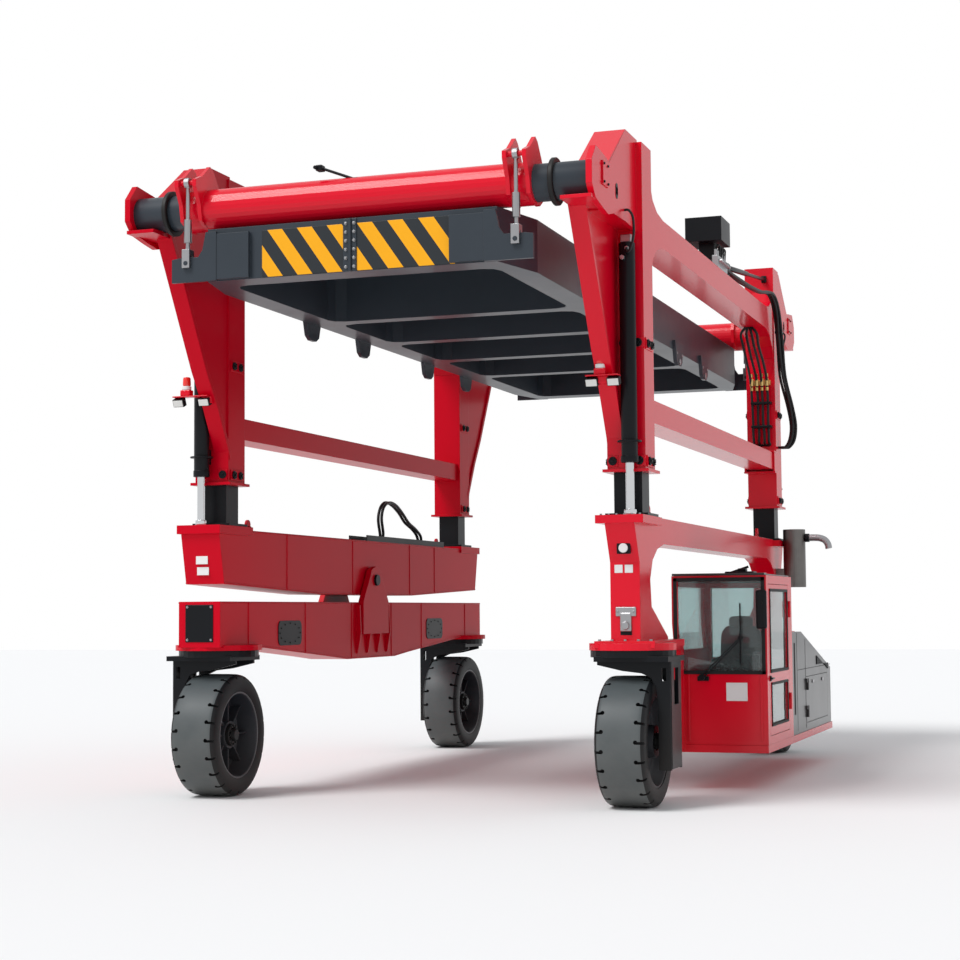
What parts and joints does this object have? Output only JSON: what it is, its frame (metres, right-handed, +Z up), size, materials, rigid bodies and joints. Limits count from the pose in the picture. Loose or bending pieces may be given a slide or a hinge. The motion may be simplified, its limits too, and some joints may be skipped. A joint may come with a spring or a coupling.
{
  "type": "straddle carrier",
  "caption": "Portal straddle carrier: two side frames on steered solid-tyred wheels, telescopic masts, a hanging frame spreader on cross bars, and a cab and engine on one side.",
  "frame": {"origin": "middle of the footprint, on the ground under the wheels", "axes": "+X across the machine towards the cab side, -Y along the side frames towards the leading end, +Z up"},
  "size_m": [5.261, 9.74, 5.77],
  "materials": {
    "red_paint": "gloss",
    "charcoal_paint": "satin",
    "black_paint": "satin",
    "grey_paint": "satin",
    "chrome_rod": "polished",
    "tyre_rubber": "matt",
    "rim_iron": "painted",
    "bright_steel": "brushed",
    "hose_rubber": "matt",
    "seat_cloth": "woven"
  },
  "bodies": {
    "right_frame": {"chassis_right": "red_paint", "platform": "red_paint", "cab_shell": "red_paint", "driver_seat": "seat_cloth", "engine_hood": "grey_paint", "engine_block": "rim_iron", "muffler": "bright_steel", "inner_mast_front_right": "black_paint", "lift_rod_front_right": "chrome_rod", "inner_mast_rear_right": "black_paint", "lift_rod_rear_right": "chrome_rod"},
    "portal": {"top_beam_right": "red_paint", "top_beam_left": "red_paint", "tie_bar_right": "red_paint", "tie_bar_left": "red_paint", "cross_bar_front": "charcoal_paint", "cross_bar_rear": "charcoal_paint", "control_box": "black_paint", "hose_bundle_mast": "hose_rubber", "hose_bundle_beam": "hose_rubber", "outer_mast_front_right": "red_paint", "lift_barrel_front_right": "black_paint", "outer_mast_front_left": "red_paint", "lift_barrel_front_left": "black_paint", "outer_mast_rear_right": "red_paint", "lift_barrel_rear_right": "black_paint", "outer_mast_rear_left": "red_paint", "lift_barrel_rear_left": "black_paint"},
    "left_frame": {"chassis_left": "red_paint", "hose_tray_left": "black_paint", "hose_loop_left": "hose_rubber", "inner_mast_front_left": "black_paint", "lift_rod_front_left": "chrome_rod", "inner_mast_rear_left": "black_paint", "lift_rod_rear_left": "chrome_rod"},
    "rocker": {"rocker_beam": "red_paint", "rocker_pin": "black_paint"},
    "carriage": {"shift_sleeve_front": "red_paint", "shift_sleeve_rear": "red_paint", "spreader": "charcoal_paint", "spreader_link_front_right": "bright_steel", "spreader_link_front_left": "bright_steel", "spreader_link_rear_right": "bright_steel", "spreader_link_rear_left": "bright_steel"},
    "cab_door_leaf": {"cab_door": "red_paint"},
    "engine_door_leaf": {"engine_door": "grey_paint"},
    "steer_front_right": {"knuckle_front_right": "black_paint"},
    "wheel_front_right": {"wheel_rim_front_right": "rim_iron", "tyre_front_right": "tyre_rubber"},
    "steer_front_left": {"knuckle_front_left": "black_paint"},
    "wheel_front_left": {"wheel_rim_front_left": "rim_iron", "tyre_front_left": "tyre_rubber"},
    "steer_rear_right": {"knuckle_rear_right": "black_paint"},
    "wheel_rear_right": {"wheel_rim_rear_right": "rim_iron", "tyre_rear_right": "tyre_rubber"},
    "steer_rear_left": {"knuckle_rear_left": "black_paint"},
    "wheel_rear_left": {"wheel_rim_rear_left": "rim_iron", "tyre_rear_left": "tyre_rubber"}
  },
  "joints": [
    {"name": "portal_lift", "type": "slide", "parent": "right_frame", "child": "portal", "axis": [0, 0, 1], "range_m": [-0.25, 1.2]},
    {"name": "left_frame_lift", "type": "slide", "parent": "portal", "child": "left_frame", "axis": [0, 0, -1], "range_m": [-0.25, 1.2]},
    {"name": "side_shift", "type": "slide", "parent": "portal", "child": "carriage", "axis": [1, 0, 0], "range_m": [-0.1, 0.1]},
    {"name": "rocker_tilt", "type": "hinge", "parent": "left_frame", "child": "rocker", "pos_m": [-2.23, 0, 2.03], "axis": [1, 0, 0], "range_deg": [-2, 2]},
    {"name": "cab_door_hinge", "type": "hinge", "parent": "right_frame", "child": "cab_door_leaf", "pos_m": [2.6195, -0.437, 1.2], "axis": [0, 0, 1], "range_deg": [0, 110]},
    {"name": "engine_door_hinge", "type": "hinge", "parent": "right_frame", "child": "engine_door_leaf", "pos_m": [2.6095, 0.677, 0.74], "axis": [0, 0, -1], "range_deg": [0, 110]},
    {"name": "steer_front_right", "type": "hinge", "parent": "right_frame", "child": "steer_front_right", "pos_m": [1.74, -3.22, 1.34], "axis": [0, 0, 1], "range_deg": [-50, 50]},
    {"name": "wheel_spin_front_right", "type": "hinge", "parent": "steer_front_right", "child": "wheel_front_right", "pos_m": [1.74, -3.22, 0.56], "axis": [1, 0, 0], "continuous": true},
    {"name": "steer_front_left", "type": "hinge", "parent": "rocker", "child": "steer_front_left", "pos_m": [-2.23, -3.22, 1.34], "axis": [0, 0, 1], "range_deg": [-50, 50]},
    {"name": "wheel_spin_front_left", "type": "hinge", "parent": "steer_front_left", "child": "wheel_front_left", "pos_m": [-2.23, -3.22, 0.56], "axis": [1, 0, 0], "continuous": true},
    {"name": "steer_rear_right", "type": "hinge", "parent": "right_frame", "child": "steer_rear_right", "pos_m": [1.74, 3.22, 1.34], "axis": [0, 0, 1], "range_deg": [-50, 50]},
    {"name": "wheel_spin_rear_right", "type": "hinge", "parent": "steer_rear_right", "child": "wheel_rear_right", "pos_m": [1.74, 3.22, 0.56], "axis": [1, 0, 0], "continuous": true},
    {"name": "steer_rear_left", "type": "hinge", "parent": "rocker", "child": "steer_rear_left", "pos_m": [-2.23, 3.22, 1.34], "axis": [0, 0, 1], "range_deg": [-50, 50]},
    {"name": "wheel_spin_rear_left", "type": "hinge", "parent": "steer_rear_left", "child": "wheel_rear_left", "pos_m": [-2.23, 3.22, 0.56], "axis": [1, 0, 0], "continuous": true}
  ],
  "couplings": [
    {"joint": "left_frame_lift", "follows": "portal_lift", "ratio": 1}
  ]
}
